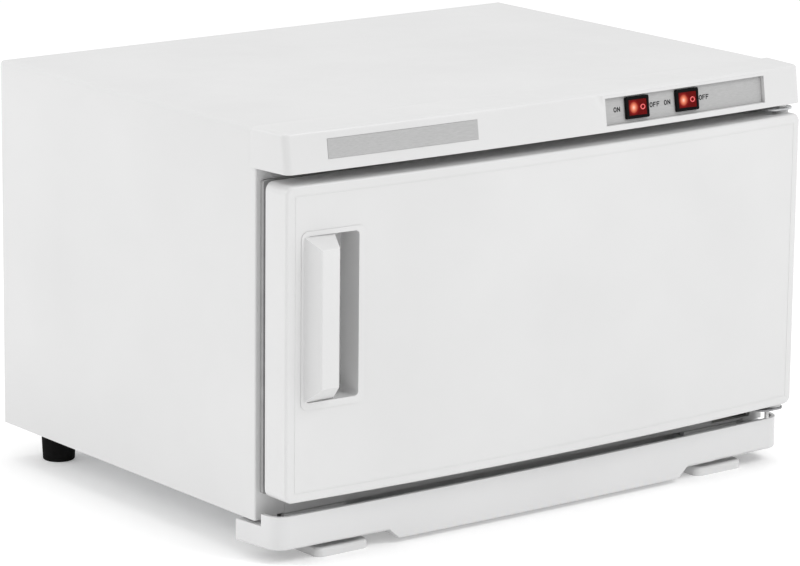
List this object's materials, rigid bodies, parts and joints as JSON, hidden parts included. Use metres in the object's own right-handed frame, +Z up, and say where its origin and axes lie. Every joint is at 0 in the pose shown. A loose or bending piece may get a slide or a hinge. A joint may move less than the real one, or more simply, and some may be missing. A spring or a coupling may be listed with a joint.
{
  "type": "hot towel cabinet",
  "caption": "White countertop hot towel cabinet with a side-hinged bowed door, hooded handle, front control fascia with lit rocker switches, drip tray, and a heated chamber with lamp and rack.",
  "frame": {"origin": "centre of the overall box at the floor plane", "axes": "+X to the right seen from the front, +Y to the back, +Z up; the door faces -Y"},
  "size_m": [0.455, 0.359, 0.2895],
  "materials": {
    "housing_paint": "white powder coat, faint orange peel",
    "galvanised": "zinc plated sheet",
    "white_plastic": "white moulded ABS, satin",
    "tray_plastic": "white moulded plastic, satin",
    "silver_plate": "silver brushed foil plate",
    "black_plastic": "black moulded nylon",
    "red_rocker": "translucent red, lit from inside",
    "neon_glass": "neon indicator",
    "aluminium": "mill finish sheet",
    "silicone_heater": "red silicone mat",
    "insulation": "glass-fibre wool board",
    "thermostat_case": "phenolic moulding",
    "ceramic": "white steatite",
    "lamp_glass": "clear quartz tube",
    "lamp_holder": "white polycarbonate",
    "ballast_iron": "varnished laminations",
    "wire_sleeve": "glass-fibre sleeve",
    "chrome_wire": "chromed wire",
    "hinge_steel": "turned steel pin",
    "rubber_foot": "black rubber",
    "gasket_silicone": "grey silicone seal",
    "strike_steel": "plated steel",
    "bush_white": "white nylon",
    "screw_steel": "zinc plated pan-head screw"
  },
  "bodies": {
    "cabinet": {"back_panel": "housing_paint", "ballast": "ballast_iron", "base_plate": "galvanised", "chamber_liner": "aluminium", "cord_gland": "black_plastic", "foot_screws": "screw_steel", "front_fascia": "white_plastic", "front_foot_left": "white_plastic", "front_foot_right": "white_plastic", "front_frame": "white_plastic", "heat_switch_body": "black_plastic", "heater_mat": "silicone_heater", "hinge_bracket_bottom": "galvanised", "hinge_bracket_top": "galvanised", "hinge_pin_bottom": "hinge_steel", "hinge_pin_top": "hinge_steel", "hinge_screws": "screw_steel", "hinge_stud": "bush_white", "housing_screws": "screw_steel", "housing_wrap": "housing_paint", "insulation_back": "insulation", "insulation_bottom": "insulation", "insulation_left": "insulation", "insulation_right": "insulation", "insulation_top": "insulation", "label_plate": "silver_plate", "latch_magnet": "black_plastic", "rack_rail_left": "aluminium", "rack_rail_right": "aluminium", "rear_foot_left": "rubber_foot", "rear_foot_right": "rubber_foot", "starter": "lamp_holder", "starter_socket": "lamp_holder", "switch_neons": "neon_glass", "switch_plate": "silver_plate", "terminal_block": "ceramic", "thermal_fuse": "ceramic", "thermostat": "thermostat_case", "tray_runner_left": "galvanised", "tray_runner_right": "galvanised", "uv_lamp_caps": "aluminium", "uv_lamp_guard": "aluminium", "uv_lamp_tube": "lamp_glass", "uv_socket_left": "lamp_holder", "uv_socket_right": "lamp_holder", "uv_switch_body": "black_plastic", "wire_rack": "chrome_wire", "wiring_loom": "wire_sleeve"},
    "door": {"door_shell": "white_plastic", "door_inner_panel": "aluminium", "door_insulation": "insulation", "door_gasket": "gasket_silicone", "handle_cup": "white_plastic", "strike_plate": "strike_steel", "door_bush_top": "bush_white", "door_bush_bottom": "bush_white", "door_screws": "screw_steel"},
    "drip_tray": {"drip_tray": "tray_plastic"},
    "heat_rocker": {"heat_rocker": "red_rocker"},
    "uv_rocker": {"uv_rocker": "red_rocker"}
  },
  "joints": [
    {"name": "door_hinge", "type": "hinge", "parent": "cabinet", "child": "door", "pos_m": [0.215, -0.1535, 0.1501], "axis": [0, 0, 1], "range_deg": [0, 120]},
    {"name": "drip_tray_slide", "type": "slide", "parent": "cabinet", "child": "drip_tray", "axis": [0, -1, 0], "range_m": [0, 0.045]},
    {"name": "heat_rocker_tilt", "type": "hinge", "parent": "cabinet", "child": "heat_rocker", "pos_m": [0.069, -0.16561, 0.27646], "axis": [0, 0.1425, 0.9898], "range_deg": [0, 22]},
    {"name": "uv_rocker_tilt", "type": "hinge", "parent": "cabinet", "child": "uv_rocker", "pos_m": [0.115, -0.16454, 0.27646], "axis": [0, 0.1425, 0.9898], "range_deg": [0, 22]}
  ]
}
